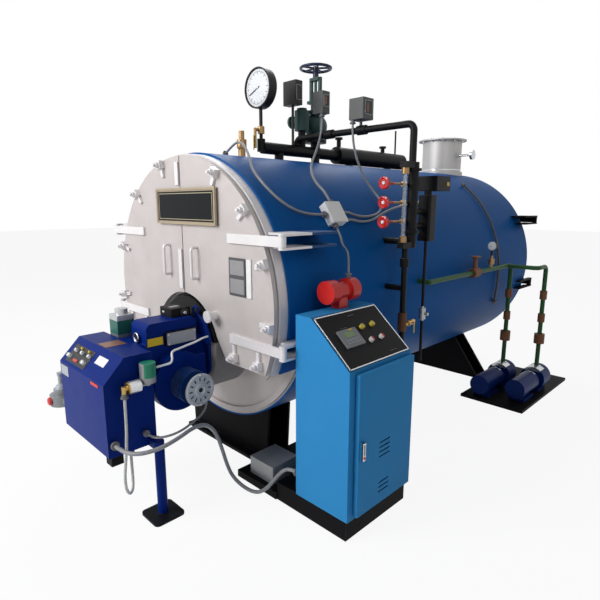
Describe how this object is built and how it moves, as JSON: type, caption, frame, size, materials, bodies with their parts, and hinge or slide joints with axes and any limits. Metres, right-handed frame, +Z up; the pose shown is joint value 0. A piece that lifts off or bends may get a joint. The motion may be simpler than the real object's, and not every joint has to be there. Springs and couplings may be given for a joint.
{
  "type": "industrial fire-tube steam boiler",
  "caption": "Horizontal fire-tube steam boiler with burner, hinged smokebox doors, control cabinet, steam header with fittings, flue stub and feed pumps.",
  "frame": {"origin": "on the floor under the boiler axis, at the front tube plate, on the underside of the front saddle", "axes": "+X to the right seen from the burner end, +Y along the shell from the burner end to the rear, +Z up"},
  "size_m": [2.097, 3.885, 2.4725],
  "materials": {
    "black_paint": "satin",
    "black_pipe": "satin",
    "blue_cladding": "satin",
    "brass": "satin",
    "brown_fittings": "rough",
    "burner_blue": "satin",
    "cabinet_blue": "satin",
    "cast_green": "rough",
    "clear_glass": "clear",
    "cord_black": "matt",
    "cord_grey": "satin",
    "cord_white": "satin",
    "gauge_case": "satin",
    "gland_grey": "satin",
    "green_pipe": "satin",
    "grey_box": "satin",
    "handwheel_blue": "satin",
    "motor_grey": "satin",
    "panel_black": "satin",
    "panel_plastic": "gloss",
    "plate_black": "gloss",
    "plate_metal": "satin",
    "pump_blue": "satin",
    "silver_paint": "satin",
    "siren_red": "gloss",
    "stainless": "brushed",
    "switch_grey": "satin",
    "white_box": "satin",
    "zinc_plate": "matt"
  },
  "bodies": {
    "boiler": {"base_deck": "black_paint", "brass_cocks": "brass", "burner_actuator": "panel_black", "burner_box": "burner_blue", "burner_drum": "black_paint", "burner_flange": "black_paint", "burner_housing": "burner_blue", "burner_post": "burner_blue", "cabinet_body": "cabinet_blue", "cabinet_mounting_plate": "zinc_plate", "conduit_burner": "cord_grey", "conduit_crown": "cord_grey", "conduit_glands": "gland_grey", "conduit_level": "cord_grey", "conduit_motor": "cord_grey", "conduit_siren": "cord_grey", "conduit_switch": "cord_grey", "conduit_valve": "cord_grey", "console_panel": "panel_black", "dial_gauges": "gauge_case", "drain_pipes": "black_pipe", "fan_motor": "motor_grey", "feed_fittings": "brown_fittings", "feed_pipe": "green_pipe", "feed_pumps": "pump_blue", "flue_hose": "cord_black", "flue_stub": "stainless", "front_plate": "silver_paint", "gas_hose": "cord_white", "gas_train": "motor_grey", "gauge_glass": "clear_glass", "hinge_forks_front": "silver_paint", "junction_box": "white_box", "level_controller": "black_pipe", "level_pipe": "black_pipe", "main_steam_valve": "cast_green", "panel_controls": "panel_plastic", "pressure_switches": "switch_grey", "rear_cladding": "blue_cladding", "rear_hinge_forks": "black_paint", "rear_smokebox": "black_paint", "saddles": "black_paint", "safety_valve": "cast_green", "shell_cladding": "blue_cladding", "siren": "siren_red", "smokebox_casing": "silver_paint", "smokebox_cladding": "blue_cladding", "smokebox_ring": "silver_paint", "steam_header": "black_pipe", "transformer_box": "grey_box", "water_column": "black_pipe"},
    "leaf_left": {"door_leaf_left": "silver_paint", "door_fittings_left": "silver_paint", "name_plate": "plate_black"},
    "leaf_right": {"door_leaf_right": "silver_paint", "door_fittings_right": "silver_paint", "data_plate": "plate_metal"},
    "cabinet_door": {"cabinet_door": "cabinet_blue"},
    "rear_door": {"rear_door": "black_paint"},
    "steam_handwheel": {"main_handwheel": "handwheel_blue"}
  },
  "joints": [
    {"name": "leaf_right_hinge", "type": "hinge", "parent": "boiler", "child": "leaf_right", "pos_m": [0.838, -0.236, 1.03], "axis": [0, 0, 1], "range_deg": [0, 110]},
    {"name": "leaf_left_hinge", "type": "hinge", "parent": "boiler", "child": "leaf_left", "pos_m": [-0.838, -0.236, 1.03], "axis": [0, 0, 1], "range_deg": [-110, 0]},
    {"name": "cabinet_door_hinge", "type": "hinge", "parent": "boiler", "child": "cabinet_door", "pos_m": [1.215, 0.2905, 0.45], "axis": [0, 0, 1], "range_deg": [0, 110]},
    {"name": "rear_door_hinge", "type": "hinge", "parent": "boiler", "child": "rear_door", "pos_m": [0.8, 2.967, 1.03], "axis": [0, 0, -1], "range_deg": [0, 110]},
    {"name": "handwheel_turn", "type": "hinge", "parent": "boiler", "child": "steam_handwheel", "pos_m": [0, 0.87, 2.462], "axis": [0, 0, 1], "continuous": true}
  ],
  "couplings": [
    {"joint": "leaf_left_hinge", "follows": "leaf_right_hinge", "ratio": -1}
  ]
}
